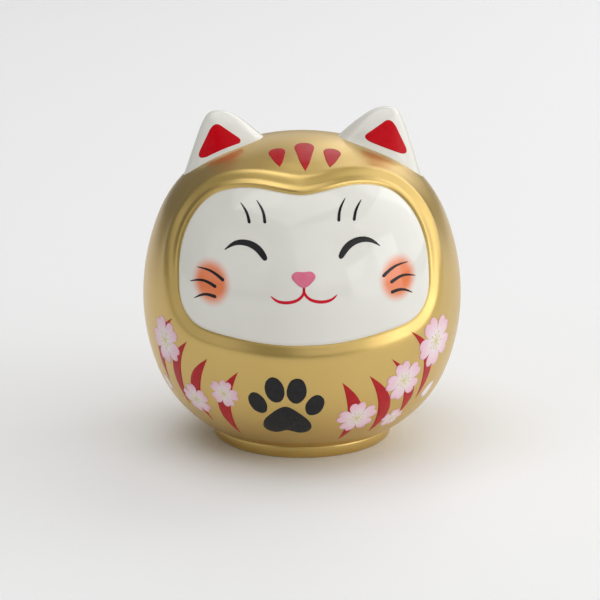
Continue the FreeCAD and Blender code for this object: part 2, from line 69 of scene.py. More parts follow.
FACE_LEAN = 1.3                 # degrees, right side up
LEAN_CENTRE = (-0.4, 70.0)
POCKET_DEPTH = 2.5              # floor under the face panel
FACE_MARGIN = 0.8               # how far the pocket runs past the face's outline
FACE_EDGE_DEPTH = 1.7
FACE_DOME = 1.0                 # how much the middle of the face stands above its edge
FACE_DOME_REACH = 9.0
FACE_ROUNDING = (0.35, 0.9)     # drop of the white's very edge, and how far in it starts
MUZZLE = (1.5, 0.0, 69.0, 15.0, 11.0)       # rise, x, z, reach across, reach up
EYE_HOLLOW = (0.5, 19.0, 83.0, 10.0, 8.0)   # depth, x, z, reach across, reach up
MARKS_SHIFT = -0.6              # the painted marks sit a little to the left of the outline

FILM_TOP = 0.06                 # a transfer's face above the surface, and its back below it
FILM_BACK = -0.03
FILM = (FILM_TOP, FILM_BACK)
PETAL_FILM = (2 * FILM_TOP, FILM_BACK)
FAR = 99.0                      # stands for any distance too long to matter

# Right half of the face's edge, (x, z), from the dip under the forehead to the chin.
FACE_HALF = [(0.0, 101.5), (4.8, 101.9), (10.2, 102.7), (17.2, 103.5), (25.0, 102.9),
             (32.6, 100.2), (38.8, 94.7), (43.0, 87.6), (45.3, 79.6), (45.9, 70.6),
             (45.0, 62.2), (41.2, 56.8), (33.8, 54.3), (24.2, 52.9), (12.4, 51.5), (0.0, 51.1)]

# Rim round the face, under it and over it: distances from the pocket's edge, then heights above
# the plain body. Under the face a sunk bevel rises to the belly; over it a flat lip rises
# through a valley to the hood's raised edge.
RIM_LOW = ([0.9, 1.8, 2.8, 3.8, 4.8, 6.0, 7.5, 9.5, 12.0],
           [-1.66, -1.28, -0.82, -0.41, -0.17, -0.02, 0.06, 0.03, 0.0])
RIM_HIGH = ([0.9, 1.8, 2.8, 3.8, 4.8, 5.8, 6.6, 7.6, 9.6, 12.0],
            [-0.98, -0.86, -0.80, -0.48, -0.10, 0.27, 0.43, 0.38, 0.13, 0.0])
RIM_BLEND = (58.0, 92.0)        # heights between which the low rim turns into the high one
POCKET_WALL = (-0.35, 0.9)      # distances between which the pocket's wall comes up to the rim

# Crescents of the robe, (azimuth, height): top tip, two points down the outer edge, bottom
# tip, two points back up the inner edge.
STRIPES = {
    "left": [
        [(-52.3, 54.8), (-62.6, 47.2), (-65.4, 36.8), (-63.4, 28.0), (-62.2, 35.6), (-59.0, 45.4)],
        [(-44.9, 47.6), (-53.6, 40.6), (-56.4, 29.8), (-54.4, 20.6), (-52.4, 29.4), (-49.6, 39.4)],
        [(-36.0, 42.8), (-45.0, 35.2), (-47.6, 24.6), (-44.2, 15.4), (-43.6, 24.6), (-40.4, 34.6)],
        [(-24.0, 39.5), (-32.2, 31.6), (-35.6, 19.6), (-31.8, 11.3), (-30.8, 19.4), (-28.2, 29.8)]],
    "right": [
        [(13.0, 36.2), (19.6, 29.6), (22.8, 17.8), (17.0, 9.7), (17.4, 17.2), (15.8, 27.2)],
        [(23.0, 37.8), (31.6, 30.6), (35.8, 19.0), (32.0, 11.8), (31.0, 18.8), (27.8, 28.8)],
        [(31.2, 43.2), (40.6, 36.2), (46.6, 24.8), (44.0, 18.4), (41.8, 25.0), (37.4, 34.8)],
        [(39.4, 52.0), (48.6, 45.4), (53.6, 33.0), (50.4, 23.2), (49.4, 33.2), (45.8, 43.2)]]}

# Blossoms and fallen petals: azimuth, height, radius, roll.
BLOSSOMS = [(-58.0, 45.2, 9.3, 20.0), (-47.0, 24.4, 6.8, 10.0), (-31.3, 29.8, 6.0, 52.0),
            (21.3, 20.4, 7.9, 8.0), (38.9, 33.2, 8.4, 20.0), (53.4, 45.4, 10.2, 34.0),
            (40.6, 16.8, 5.0, 0.0)]
LOOSE_PETALS = [(57.6, 25.2, 4.0, 140.0), (-66.6, 26.4, 3.6, 200.0)]

# Forehead marks: x, y, length, width, roll.
FOREHEAD_MARKS = {"left": (-9.2, -24.9, 14.2, 6.0, 4.0),
                  "centre": (0.4, -24.8, 21.4, 6.8, 0.0),
                  "right": (10.0, -25.2, 14.4, 6.2, -5.0)}

# Paw print: azimuth and height of its middle, pads (across, up, half width, half height, roll),
# and the right half of the heel.
PAW_PLACE = (-7.4, 24.6)
PAW_PADS = [(-10.2, 3.0, 3.3, 4.9, 24.0), (-3.7, 9.6, 3.6, 5.5, 8.0),
            (4.3, 9.4, 3.6, 5.5, -8.0), (10.6, 2.6, 3.3, 4.9, -24.0)]
HEEL_HALF = [(0.0, 2.4), (4.6, -0.6), (8.6, -6.4), (8.2, -10.8), (4.2, -12.4), (0.0, -10.6)]
HEEL_MIDDLE = (0.0, -6.0)

# Strokes on the face: points along the middle (x, z), and the full width at each.
EYE = ([(27.3, 82.8), (23.6, 85.2), (19.6, 85.6), (15.8, 84.0), (12.8, 80.2)],
       [0.2, 1.4, 2.1, 2.4, 1.5])
BROW_WIDTHS = [0.2, 0.9, 1.1]
BROWS = [([(21.3, 98.1), (19.2, 95.2), (18.3, 91.9)], BROW_WIDTHS),
         ([(15.6, 99.1), (13.5, 95.8), (12.9, 92.1)], BROW_WIDTHS)]
WHISKER_WIDTHS = [0.2, 0.9, 1.25]
WHISKERS = [([(37.3, 75.8), (32.4, 75.2), (27.8, 72.4)], WHISKER_WIDTHS),
            ([(40.0, 70.5), (35.2, 71.6), (30.6, 69.9)], WHISKER_WIDTHS),
            ([(38.7, 64.9), (34.6, 66.9), (30.7, 66.5)], WHISKER_WIDTHS)]
MOUTH = ([(0.0, 71.8), (0.1, 69.8), (1.6, 67.7), (4.4, 66.5), (7.2, 66.3), (9.8, 67.0), (11.5, 68.4)],
         [0.8, 0.9, 1.0, 1.1, 1.1, 0.9, 0.2])
NOSE_HALF = [(0.0, 76.6), (3.2, 76.4), (4.1, 75.2), (3.0, 73.2), (0.0, 71.4)]
CHEEKS = [(-33.0, 70.6), (32.8, 71.9)]
CHEEK_RADIUS = (6.6, 8.0)
CHEEK_COLOUR = (0.86, 0.22, 0.075, 1.0)

# Ears: height of root and tip; rises from 0 at the root to 1 at the tip, with the x of the
# outer and the inner edge at each.
EAR_ROOT = 92.0
EAR_TIP = 125.9
EAR_RISE = [0.0, 0.25, 0.42, 0.58, 0.72, 0.88, 1.0]
EAR_OUTER = [46.3, 43.0, 40.3, 38.1, 36.3, 34.0, 31.3]
EAR_INNER_EDGE = [-8.0, 3.5, 11.0, 17.6, 22.6, 27.4, 31.3]
EAR_DEPTH = 17.3                # half depth at the root, falling evenly to the tip
EAR_SET_BACK = 1.0
EAR_SQUARENESS = 2.3
EAR_OFFSET = {"left": 0.0, "right": 0.3}
EAR_DROP = {"left": 1.7, "right": 0.4}
EAR_FLARE = 0.35                # how much it spreads where it meets the body
EAR_FLARE_REACH = 0.8
EAR_MIDDLE = 28.0
EAR_SUNK = 2.0                  # depth of its root in the wall
EAR_RED = [(32.5, 122.8), (39.5, 108.4), (21.1, 115.5)]
EAR_RED_ROUNDING = 4.6

# Petals of a blossom and of the fallen ones: half outlines for a radius of 1.
PETAL_HALF = [(0.30, 36.0), (0.62, 34.0), (0.87, 26.0), (0.99, 13.5), (0.95, 5.0), (0.86, 0.0)]
FALLEN_HALF = [(0.0, -1.0), (0.55, -0.35), (0.62, 0.35), (0.36, 0.92), (0.10, 0.86), (0.0, 0.66)]
PETALS = 5
FILAMENTS = 10
FILAMENT_REACH = (0.27, 0.36)   # short and long ones in turn
FILAMENT_WIDTH = 0.024
HEART_RADIUS = 0.085
DOT_SIZE = 0.42                 # of the heart's size


# ---------------------------------------------------------------- curves
def spline(points, count, closed=False):
    """Cubic spline through the points, as count samples evenly spread along it."""
    knots = np.asarray(points, float)
    if closed:
        knots = np.vstack([knots, knots[:1]])
    steps = np.linalg.norm(np.diff(knots, axis=0), axis=1)
    rises = np.diff(knots, axis=0) / steps[:, None]
    number = len(knots)
    matrix = np.zeros((number, number))
    right = np.zeros(knots.shape)
    for i in range(1, number - 1):
        matrix[i, i - 1:i + 2] = (steps[i], 2 * (steps[i - 1] + steps[i]), steps[i - 1])
        right[i] = 3 * (steps[i] * rises[i - 1] + steps[i - 1] * rises[i])
    if closed:
        matrix[0, [0, 1, -2]] = (2 * (steps[-1] + steps[0]), steps[-1], steps[0])
        right[0] = 3 * (steps[0] * rises[-1] + steps[-1] * rises[0])
        matrix[-1, [0, -1]] = (1.0, -1.0)
    else:
        matrix[0, :2] = (2.0, 1.0)
        right[0] = 3 * rises[0]
        matrix[-1, -2:] = (1.0, 2.0)
        right[-1] = 3 * rises[-1]
    slopes = np.linalg.solve(matrix, right)
    ends = np.concatenate([[0.0], np.cumsum(steps)])
    fine = np.linspace(0.0, ends[-1], 20 * count)
    curve = hermite(fine, ends, knots, slopes)
    return evened(curve, count, closed)


def evened(path, count, closed):
    """Samples evenly spread along a path of straight steps."""
    run = np.concatenate([[0.0], np.cumsum(np.linalg.norm(np.diff(path, axis=0), axis=1))])
    wanted = np.linspace(0.0, run[-1], count, endpoint=not closed)
    return np.stack([np.interp(wanted, run, path[:, k]) for k in range(path.shape[1])], 1)


def hermite(where, ends, knots, slopes):
    """Values of a cubic with given knots and slopes."""
    index = np.clip(np.searchsorted(ends, where, side="right") - 1, 0, len(ends) - 2)
    step = (ends[index + 1] - ends[index])[:, None]
    t = (where - ends[index])[:, None] / step
    return ((1 + 2 * t) * (1 - t) ** 2 * knots[index] + t * (1 - t) ** 2 * step * slopes[index]
            + t * t * (3 - 2 * t) * knots[index + 1] + t * t * (t - 1) * step * slopes[index + 1])


def smooth_through(places, values, where):
    """One value from a smooth curve through (place, value) pairs."""
    pairs = np.stack([np.asarray(places, float), np.asarray(values, float)], 1)
    scale = max(np.ptp(pairs[:, 1]), 1e-9)
    curve = spline(pairs / [1.0, scale], 400)
    return np.interp(where, curve[:, 0], curve[:, 1]) * scale


def ramp(low, high, value):
    """Smooth step from 0 at low to 1 at high."""
    t = np.clip((value - low) / (high - low), 0.0, 1.0)
    return t * t * (3 - 2 * t)


def turned(flat, degrees, centre=(0.0, 0.0)):
    """Flat points turned anticlockwise about a centre."""
    angle = math.radians(degrees)
    x = flat[..., 0] - centre[0]
    y = flat[..., 1] - centre[1]
    return np.stack([centre[0] + x * math.cos(angle) - y * math.sin(angle),
                     centre[1] + x * math.sin(angle) + y * math.cos(angle)], -1)


def lean(points, left=False):
    """Face points (x, z), mirrored if asked, turned by the face's lean."""
    mirror = [-1.0 if left else 1.0, 1.0]
    return turned(np.array(points, float) * mirror, FACE_LEAN, LEAN_CENTRE)


def circle(count):
    """Points of a circle of radius 1, anticlockwise from its right."""
    angles = np.linspace(0.0, 2 * math.pi, count, endpoint=False)
    return np.stack([np.cos(angles), np.sin(angles)], 1)


def mirrored(half):
    """Closed outline from one half of it, which starts and ends on the middle line."""
    half = np.asarray(half, float)
    return np.concatenate([half[:-1], (half * [-1, 1])[::-1][:-1]])


# ---------------------------------------------------------------- the body's surface
def section_arcs():
    """Arcs of the half section from the crown down: centre, radius, start angle, start length."""
    def along(point, distance, degrees):
        angle = math.radians(degrees)
        return (point[0] + distance * math.cos(angle), point[1] + distance * math.sin(angle))
    upper = (EQUATOR_RADIUS - UPPER_FLANK_RADIUS, EQUATOR_HEIGHT)
    shoulder = along(upper, UPPER_FLANK_RADIUS - SHOULDER_RADIUS, UPPER_FLANK_END)
    reach = shoulder[0] / math.cos(math.radians(SHOULDER_END))
    crown = (0.0, shoulder[1] - reach * math.sin(math.radians(SHOULDER_END)))
    lower = (EQUATOR_RADIUS - LOWER_FLANK_RADIUS, EQUATOR_HEIGHT)
    under = along(lower, LOWER_FLANK_RADIUS - UNDERSIDE_RADIUS, -LOWER_FLANK_END)
    plan = [(crown, SHOULDER_RADIUS + reach, 90.0, SHOULDER_END),
            (shoulder, SHOULDER_RADIUS, SHOULDER_END, UPPER_FLANK_END),
            (upper, UPPER_FLANK_RADIUS, UPPER_FLANK_END, 0.0),
            (lower, LOWER_FLANK_RADIUS, 0.0, -LOWER_FLANK_END),
            (under, UNDERSIDE_RADIUS, -LOWER_FLANK_END, -UNDERSIDE_END)]
    arcs = []
    length = 0.0
    for (cr, cz), radius, start, end in plan:
        arcs.append((cr, cz, radius, math.radians(start), length))
        length += radius * math.radians(start - end)
    return arcs, length


ARCS, SECTION_LENGTH = section_arcs()


def section(s):
    """r, z and normal (r, z) of the half section at lengths s from the crown."""
    s = np.asarray(s, float)
    out = np.zeros(s.shape + (4,))
    for cr, cz, radius, start, length in ARCS:
        inside = s >= length
        angle = start - (s[inside] - length) / radius
        out[inside] = np.stack([cr + radius * np.cos(angle), cz + radius * np.sin(angle),
                                np.cos(angle), np.sin(angle)], -1)
    return out


TABLE_S = np.linspace(0.0, SECTION_LENGTH, 4000)
TABLE = section(TABLE_S)
CROWN_ROWS = 1500               # the table's rows over the crown, where the radius only grows


def length_at(height):
    """Length s of the section at a height."""
    return np.interp(-np.asarray(height, float), -TABLE[:, 1], TABLE_S)


def about_axis(r, z, turn):
    """Points at a radius, a height and an azimuth in radians."""
    return np.stack([r * np.sin(turn), -r * np.cos(turn), z + 0 * turn], -1)


def base_point(turn, s, lift=0.0):
    """Point and normal at an azimuth in radians and a length s, lifted off the plain body."""
    r, z, nr, nz = np.moveaxis(section(s), -1, 0)
    normal = about_axis(nr, nz, turn)
    return about_axis(r, z, turn) + normal * np.asarray(lift)[..., None], normal


def nearest(points):
    """Azimuth and length s of the plain body's nearest place to each point."""
    r = np.hypot(points[..., 0], points[..., 1])
    z = points[..., 2]
    s = np.zeros(r.shape)
    for cr, cz, radius, start, length in ARCS:
        angle = np.arctan2(z - cz, r - cr)
        inside = angle <= start + 1e-9
        s[inside] = (length + radius * (start - angle))[inside]
    return np.arctan2(points[..., 0], -points[..., 1]), s


def face_outline(count):
    """The pocket's edge as points on the plain body."""
    flat = spline(lean(mirrored(FACE_HALF)), count, closed=True)
    s = length_at(flat[:, 1])
    turn = np.arcsin(flat[:, 0] / section(s)[:, 0])
    points, normals = base_point(turn, s)
    outward_way = np.cross(normals, np.roll(points, -1, axis=0) - np.roll(points, 1, axis=0))
    outward_way /= np.linalg.norm(outward_way, axis=1, keepdims=True)
    return base_point(*nearest(points + FACE_MARGIN * outward_way))[0]


OUTLINE = face_outline(720)


def edge_distance(points):
    """Distance in mm from each point on the body to the face's edge, negative inside it."""
    flat = points.reshape(-1, 3)
    result = np.full(len(flat), FAR)
    in_front, above, batch = -8.0, 18.0, 4000
    near = np.where((flat[:, 1] < in_front) & (flat[:, 2] > above))[0]
    before = np.roll(OUTLINE, 1, axis=0)
    after = np.roll(OUTLINE, -1, axis=0)
    edge_x, edge_z = OUTLINE[:, 0], OUTLINE[:, 2]
    run, rise = after[:, 0] - edge_x, after[:, 2] - edge_z
    rise = np.where(rise == 0, 1e-9, rise)
    for start in range(0, len(near), batch):
        rows = near[start:start + batch]
        part = flat[rows]
        close = ((part[:, None, :] - OUTLINE[None]) ** 2).sum(-1).argmin(1)
        distance = np.minimum(segment_gap(part, OUTLINE[close], before[close]),
                              segment_gap(part, OUTLINE[close], after[close]))
        x = part[:, None, 0]
        z = part[:, None, 2]
        spans = (edge_z > z) != (after[:, 2] > z)
        cross = edge_x + (z - edge_z) * run / rise
        inside = ((spans & (x < cross)).sum(1) % 2) == 1
        result[rows] = np.where(inside, -distance, distance)
    return result.reshape(points.shape[:-1])


def segment_gap(points, start, end):
    """Distance from each point to its own segment."""
    span = end - start
    share = ((points - start) * span).sum(1) / np.maximum((span ** 2).sum(1), 1e-12)
    return np.linalg.norm(points - start - np.clip(share, 0, 1)[:, None] * span, axis=1)


def rim_lift(distance, height):
    """Height of the body's surface above the plain form: pocket, lip and hood edge."""
    low_rim = smooth_through(*RIM_LOW, distance)
    high_rim = smooth_through(*RIM_HIGH, distance)
    rim = low_rim + (high_rim - low_rim) * ramp(*RIM_BLEND, height)
    return rim - (POCKET_DEPTH + rim) * (1 - ramp(*POCKET_WALL, distance))


def slot_gap(points):
    """Signed distance, seen from behind, to the slot's round-ended outline."""
    beyond = np.maximum(np.abs(points[..., 0]) - SLOT_STRAIGHT, 0.0)
    gap = np.hypot(beyond, points[..., 2] - SLOT_CENTRE_HEIGHT) - SLOT_HEIGHT / 2
    return np.where(points[..., 1] > 0, gap, FAR)


def body_lift(points):
    """Height of the finished body surface above the plain form at points of the plain form."""
    lift = rim_lift(edge_distance(points), points[..., 2])
    short = np.clip(SLOT_LIP - slot_gap(points), 0.0, SLOT_LIP)
    return lift - (SLOT_LIP - np.sqrt(SLOT_LIP ** 2 - short ** 2))


def swell(flat, shape, side=1):
    """Soft round hill from its height, place (x, z) and reach; side -1 puts it on the left."""
    height, x, z, across, up = shape
    return height * np.exp(-((flat[..., 0] - side * x) / across) ** 2 - ((flat[..., 1] - z) / up) ** 2)


def face_lift(points):
    """Height of the white face's surface above the plain form."""
    inward = np.maximum(-edge_distance(points), 0.0)
    flat = turned(points[..., [0, 2]], -FACE_LEAN, LEAN_CENTRE)
    dome = FACE_DOME * (1 - np.exp(-inward / FACE_DOME_REACH))
    edge = FACE_ROUNDING[0] * (1 - ramp(0.0, FACE_ROUNDING[1], inward))
    eyes = swell(flat, EYE_HOLLOW) + swell(flat, EYE_HOLLOW, -1)
    return -FACE_EDGE_DEPTH + dome + swell(flat, MUZZLE) - edge - eyes


def on_face(flat, lift):
    """Points of the white face's surface at (x, z), lifted off it."""
    flat = np.asarray(flat, float)
    first_guess = -1.2
    depth = np.full(flat.shape[:-1], first_guess)
    for _ in range(3):
        s = length_at(flat[..., 1])
        normal_z = section(s)[..., 3]
        s = length_at(flat[..., 1] - depth * normal_z)
        r, z, nr, nz = np.moveaxis(section(s), -1, 0)
        turn = np.arcsin(np.clip(flat[..., 0] / (r + depth * nr), -1, 1))
        plain, normal = base_point(turn, s)
        depth = face_lift(plain)
    return plain + normal * (depth + lift)[..., None]


def on_body(turn, s, lift):
    """Points of the finished body surface, lifted off it."""
    plain, normal = base_point(turn, s)
    return plain + normal * (body_lift(plain) + lift)[..., None]


class Patch:
    """Flat frame touching the body at an azimuth and height, rolled anticlockwise in degrees."""

    def __init__(self, azimuth, height, roll=0.0):
        turn = math.radians(azimuth)
        self.origin, normal = base_point(np.array(turn), length_at(height))
        self.side = np.array([math.cos(turn), math.sin(turn), 0.0])
        self.rise = np.cross(normal, self.side)
        self.roll = roll

    def place(self, flat, lift):
        """Points of the body's surface over (across, up) of the frame."""
        flat = turned(np.asarray(flat, float), self.roll)
        points = self.origin + flat[..., :1] * self.side + flat[..., 1:] * self.rise
        turn, s = nearest(points)
        return on_body(turn, s, lift)


# ---------------------------------------------------------------- meshes
def link(name, data):
    """New object in the scene."""
    item = bpy.data.objects.new(name, data)
    bpy.context.scene.collection.objects.link(item)
    return item


def new_mesh(name, points, faces):
    """Object with a mesh from points in mm."""
    mesh = bpy.data.meshes.new(name)
    mesh.from_pydata((np.asarray(points) * MM).tolist(), [], faces)
    return link(name, mesh)


def new_piece(name, points, faces, materials):
    """Smooth-shaded object riding on the bank's body, its faces looking outwards."""
    piece = new_mesh(name, points, faces)
    piece.data.validate()
    piece.data.shade_smooth()
    for material in materials:
        piece.data.materials.append(material)
    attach(piece, "bank")
    outward(piece)
    return piece


def stand_for(node):
    """Hides the CAD node that the new piece stands in for."""
    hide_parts(node)


def face_centres(mesh):
    """Middle of every face of a mesh, in mm."""
    centres = np.zeros(len(mesh.polygons) * 3)
    mesh.polygons.foreach_get("center", centres)
    return centres.reshape(-1, 3) / MM


def use_second_material(mesh, chosen):
    """Second material on the faces chosen, first on the others."""
    mesh.polygons.foreach_set("material_index", np.asarray(chosen).astype(np.int32))
    mesh.update()


def grid_faces(rows, columns, start=0, wrap=False, flip=False):
    """Quads of a grid of points, row after row."""
    row, column = np.meshgrid(np.arange(rows - 1), np.arange(columns if wrap else columns - 1),
                              indexing="ij")
    after = (column + 1) % columns
    a = row * columns + column
    b = row * columns + after
    c = (row + 1) * columns + after
    d = (row + 1) * columns + column
    quads = np.stack([a, b, c, d], -1).reshape(-1, 4) + start
    if flip:
        quads = quads[:, ::-1]
    return quads.tolist()


def fan(centre, ring, flip=False):
    """Triangles from a centre to a closed ring of point numbers."""
    pairs = zip(ring, [*ring[1:], ring[0]])
    return [(centre, after, point) if flip else (centre, point, after) for point, after in pairs]


def side_faces(border, shift):
    """Quads from a closed border of point numbers to the same border, shift numbers on."""
    pairs = zip(border, [*border[1:], border[0]])
    return [(after, point, point + shift, after + shift) for point, after in pairs]


def strip_film(top, back):
    """Points and faces of a closed film from two matching grids (rows, columns, 3)."""
    rows, columns = top.shape[:2]
    size = rows * columns
    points = np.concatenate([top.reshape(-1, 3), back.reshape(-1, 3)])
    faces = grid_faces(rows, columns) + grid_faces(rows, columns, size, flip=True)
    border = [*range(columns), *range(2 * columns - 1, size, columns),
              *range(size - 2, size - columns - 1, -1), *range(size - 2 * columns, 0, -columns)]
    return points, faces + side_faces(border, size)


def closed_disc(front, back):
    """Points and faces of a closed sheet; a side is its middle point and its rings of points."""
    rings, count = front[1].shape[:2]
    half = 1 + rings * count
    points = np.concatenate([part.reshape(-1, 3) for part in (*front, *back)])
    faces = []
    for start, flip in ((0, False), (half, True)):
        faces += fan(start, range(start + 1, start + 1 + count), flip)
        faces += grid_faces(rings, count, start + 1, wrap=True, flip=flip)
    return points, faces + side_faces(range(half - count, half), half)


def disc_film(place, outline, centre, rings, lifts=FILM):
    """Closed film filling a star-shaped outline around a centre."""
    centre = np.asarray(centre, float)[None]
    shares = np.linspace(0.0, 1.0, rings + 1)[1:, None, None]
    flat = centre + shares * (outline - centre)[None]
    front, back = ((place(centre, lift), place(flat, lift)) for lift in lifts)
    return closed_disc(front, back)


def joined(parts):
    """One list of points and faces from several."""
    points = []
    faces = []
    start = 0
    for some_points, some_faces in parts:
        points.append(some_points)
        faces += [tuple(k + start for k in face) for face in some_faces]
        start += len(some_points)
    return np.concatenate(points), faces


def outward(piece):
    """Makes every face look outwards."""
    bpy.context.view_layer.objects.active = piece
    piece.select_set(True)
    bpy.ops.object.mode_set(mode="EDIT")
    bpy.ops.mesh.select_all(action="SELECT")
    bpy.ops.mesh.normals_make_consistent(inside=False)
    bpy.ops.object.mode_set(mode="OBJECT")
    piece.select_set(False)


# ---------------------------------------------------------------- materials
def new_material(name, **sockets):
    """Principled material with set sockets; returns the material, its nodes and the shader."""
    material = bpy.data.materials.new(name)
    material.use_nodes = True
    shader = material.node_tree.nodes["Principled BSDF"]
    for socket, value in sockets.items():
        shader.inputs[socket.replace("_", " ")].default_value = value
    return material, material.node_tree, shader


def add(tree, kind, **settings):
    """New node with some properties and input values."""
    node = tree.nodes.new(kind)
    for key, value in settings.items():
        if key in node.inputs:
            node.inputs[key].default_value = value
        else:
            setattr(node, key, value)
    return node


def object_place(tree):
    """Place on the piece, in metres."""
    node = tree.nodes.get("Texture Coordinate") or tree.nodes.new("ShaderNodeTexCoord")
    return node.outputs["Object"]


def noise(tree, scale, detail):
    """Noise over the piece, scale in waves per metre."""
    node = add(tree, "ShaderNodeTexNoise", Scale=scale, Detail=detail)
    tree.links.new(object_place(tree), node.inputs["Vector"])
    return node.outputs["Fac"]


def ramped(tree, factor, stops):
    """Colour ramp from (place, colour) stops."""
    node = tree.nodes.new("ShaderNodeValToRGB")
    elements = node.color_ramp.elements
    while len(elements) < len(stops):
        elements.new(0.5)
    for element, (place, colour) in zip(elements, stops):
        element.position = place
        element.color = tuple(colour) + (1.0,) * (4 - len(colour))
    tree.links.new(factor, node.inputs["Fac"])
    return node.outputs["Color"]


def ranged(tree, factor, low, high, source=(0.3, 0.7), curve="LINEAR"):
    """Maps a factor to a range of values; most of a noise lies between 0.3 and 0.7."""
    node = add(tree, "ShaderNodeMapRange", interpolation_type=curve)
    for socket, value in zip(("From Min", "From Max", "To Min", "To Max"), (*source, low, high)):
        node.inputs[socket].default_value = value
    tree.links.new(factor, node.inputs["Value"])
    return node.outputs["Result"]


def bump(tree, shader, height, strength, distance):
    """Bump on the shader from a height."""
    node = add(tree, "ShaderNodeBump", Strength=strength, Distance=distance)
    tree.links.new(height, node.inputs["Height"])
    tree.links.new(node.outputs["Normal"], shader.inputs["Normal"])


def finish(tree, shader, gloss, grain):
    """Uneven roughness (scale, detail, low, high) and a bump (scale, detail, strength, depth)."""
    tree.links.new(ranged(tree, noise(tree, *gloss[:2]), *gloss[2:]), shader.inputs["Roughness"])
    bump(tree, shader, noise(tree, *grain[:2]), *grain[2:])


def surface(name, mottle, dark, light, gloss, grain, **sockets):
    """Two near tones in a mottle (scale, detail, half the blend's width), with a finish."""
    material, tree, shader = new_material(name, **sockets)
    scale, detail, spread = mottle
    stops = [(0.5 - spread, dark), (0.5 + spread, light)]
    tree.links.new(ramped(tree, noise(tree, scale, detail), stops), shader.inputs["Base Color"])
    finish(tree, shader, gloss, grain)
    return material


def gold_lacquer():
    """Satin metallic gold with fine flakes, under a clear coat."""
    return surface("gold_lacquer", (28.0, 2.0, 0.2), (0.60, 0.412, 0.108), (0.65, 0.45, 0.128),
                   (60.0, 4.0, 0.33, 0.40), (2600.0, 2.0, 0.10, 0.00004), Metallic=1.0,
                   Coat_Weight=0.6, Coat_IOR=1.75, Coat_Roughness=0.26,
                   Specular_Tint=(0.98, 0.89, 0.72, 1.0))


def bare_ceramic():
    """Unglazed white casting, inside and under the base."""
    return surface("bare_ceramic", (180.0, 5.0, 0.2), (0.74, 0.71, 0.65), (0.82, 0.80, 0.74),
                   (700.0, 3.0, 0.72, 0.88), (1500.0, 4.0, 0.3, 0.0001))


def white_glaze(name, cheeks=()):
    """Warm white glaze with a very shallow ripple, blushing round some places (x, z)."""
    material = surface(name, (40.0, 3.0, 0.2), (0.79, 0.78, 0.715), (0.83, 0.82, 0.76),
                       (90.0, 3.0, 0.045, 0.085), (160.0, 2.0, 0.05, 0.0003), IOR=1.5)
    for x, z in cheeks:
        add_cheek(material.node_tree, x, z)
    return material


def add_cheek(tree, x, z):
    """Lays a soft round blush over a material's colour."""
    colour = tree.nodes["Principled BSDF"].inputs["Base Color"]
    shift = add(tree, "ShaderNodeVectorMath", operation="SUBTRACT")
    shift.inputs[1].default_value = (x * MM, 0.0, z * MM)
    squash = add(tree, "ShaderNodeVectorMath", operation="DIVIDE")
    any_depth = 1000.0
    squash.inputs[1].default_value = (CHEEK_RADIUS[0] * MM, any_depth, CHEEK_RADIUS[1] * MM)
    length = add(tree, "ShaderNodeVectorMath", operation="LENGTH")
    tree.links.new(object_place(tree), shift.inputs[0])
    tree.links.new(shift.outputs["Vector"], squash.inputs[0])
    tree.links.new(squash.outputs["Vector"], length.inputs[0])
    cover = ranged(tree, length.outputs["Value"], 0.0, 0.97, (1.15, 0.58), "SMOOTHSTEP")
    mix = add(tree, "ShaderNodeMix", data_type="RGBA")
    tree.links.new(cover, mix.inputs[0])
    tree.links.new(colour.links[0].from_socket, mix.inputs[6])
    mix.inputs[7].default_value = CHEEK_COLOUR
    tree.links.new(mix.outputs[2], colour)


def transfer(name, dark, light, roughness=0.12, gloss=0.5):
    """Fired colour in a fine mottle, under a thin gloss."""
    return surface(name, (420.0, 4.0, 0.15), dark, light, (150.0, 3.0, roughness, roughness + 0.06),
                   (1200.0, 2.0, 0.05, 0.00005), IOR=1.5, Specular_IOR_Level=gloss)


def blossom_colours():
    """Petals: near white in the middle, pink towards the edge, with faint streaks."""
    material, tree, shader = new_material("blossom_pink", IOR=1.5)
    mixed = add(tree, "ShaderNodeMath", operation="ADD")
    tone = add(tree, "ShaderNodeAttribute", attribute_name="tone")
    tree.links.new(tone.outputs["Fac"], mixed.inputs[0])
    tree.links.new(ranged(tree, noise(tree, 900.0, 4.0), -0.10, 0.10), mixed.inputs[1])
    colour = ramped(tree, mixed.outputs["Value"],
                    [(0.0, (0.82, 0.76, 0.64)), (0.30, (0.84, 0.74, 0.74)),
                     (0.65, (0.84, 0.60, 0.67)), (1.0, (0.82, 0.48, 0.58))])
    tree.links.new(colour, shader.inputs["Base Color"])
    finish(tree, shader, (150.0, 3.0, 0.16, 0.24), (1200.0, 2.0, 0.05, 0.00005))
    return material


def rubber():
    """Soft off-white rubber of the stopper."""
    return surface("stopper_rubber", (120.0, 3.0, 0.2), (0.62, 0.60, 0.54), (0.70, 0.68, 0.62),
                   (500.0, 3.0, 0.50, 0.66), (1800.0, 3.0, 0.2, 0.00006), IOR=1.48)


GOLD = gold_lacquer()
BARE = bare_ceramic()
FACE_WHITE = white_glaze("face_glaze", CHEEKS)
EAR_WHITE = white_glaze("ear_glaze")
EAR_RED_COLOUR = transfer("ear_red", (0.56, 0.0, 0.006), (0.60, 0.002, 0.010), 0.25, 0.12)
ROBE_RED = transfer("robe_red", (0.42, 0.009, 0.013), (0.48, 0.014, 0.018), 0.2, 0.2)
MOUTH_RED = transfer("mouth_red", (0.60, 0.002, 0.020), (0.64, 0.004, 0.026), 0.2, 0.25)
BLACK = transfer("black_ink", (0.010, 0.010, 0.011), (0.015, 0.015, 0.016), 0.2, 0.25)
NOSE_PINK = transfer("nose_pink", (0.72, 0.16, 0.26), (0.76, 0.19, 0.29), 0.2, 0.25)
BLOSSOM = blossom_colours()
STAMEN = transfer("stamen_yellow", (0.72, 0.60, 0.26), (0.78, 0.67, 0.34))
RUBBER = rubber()


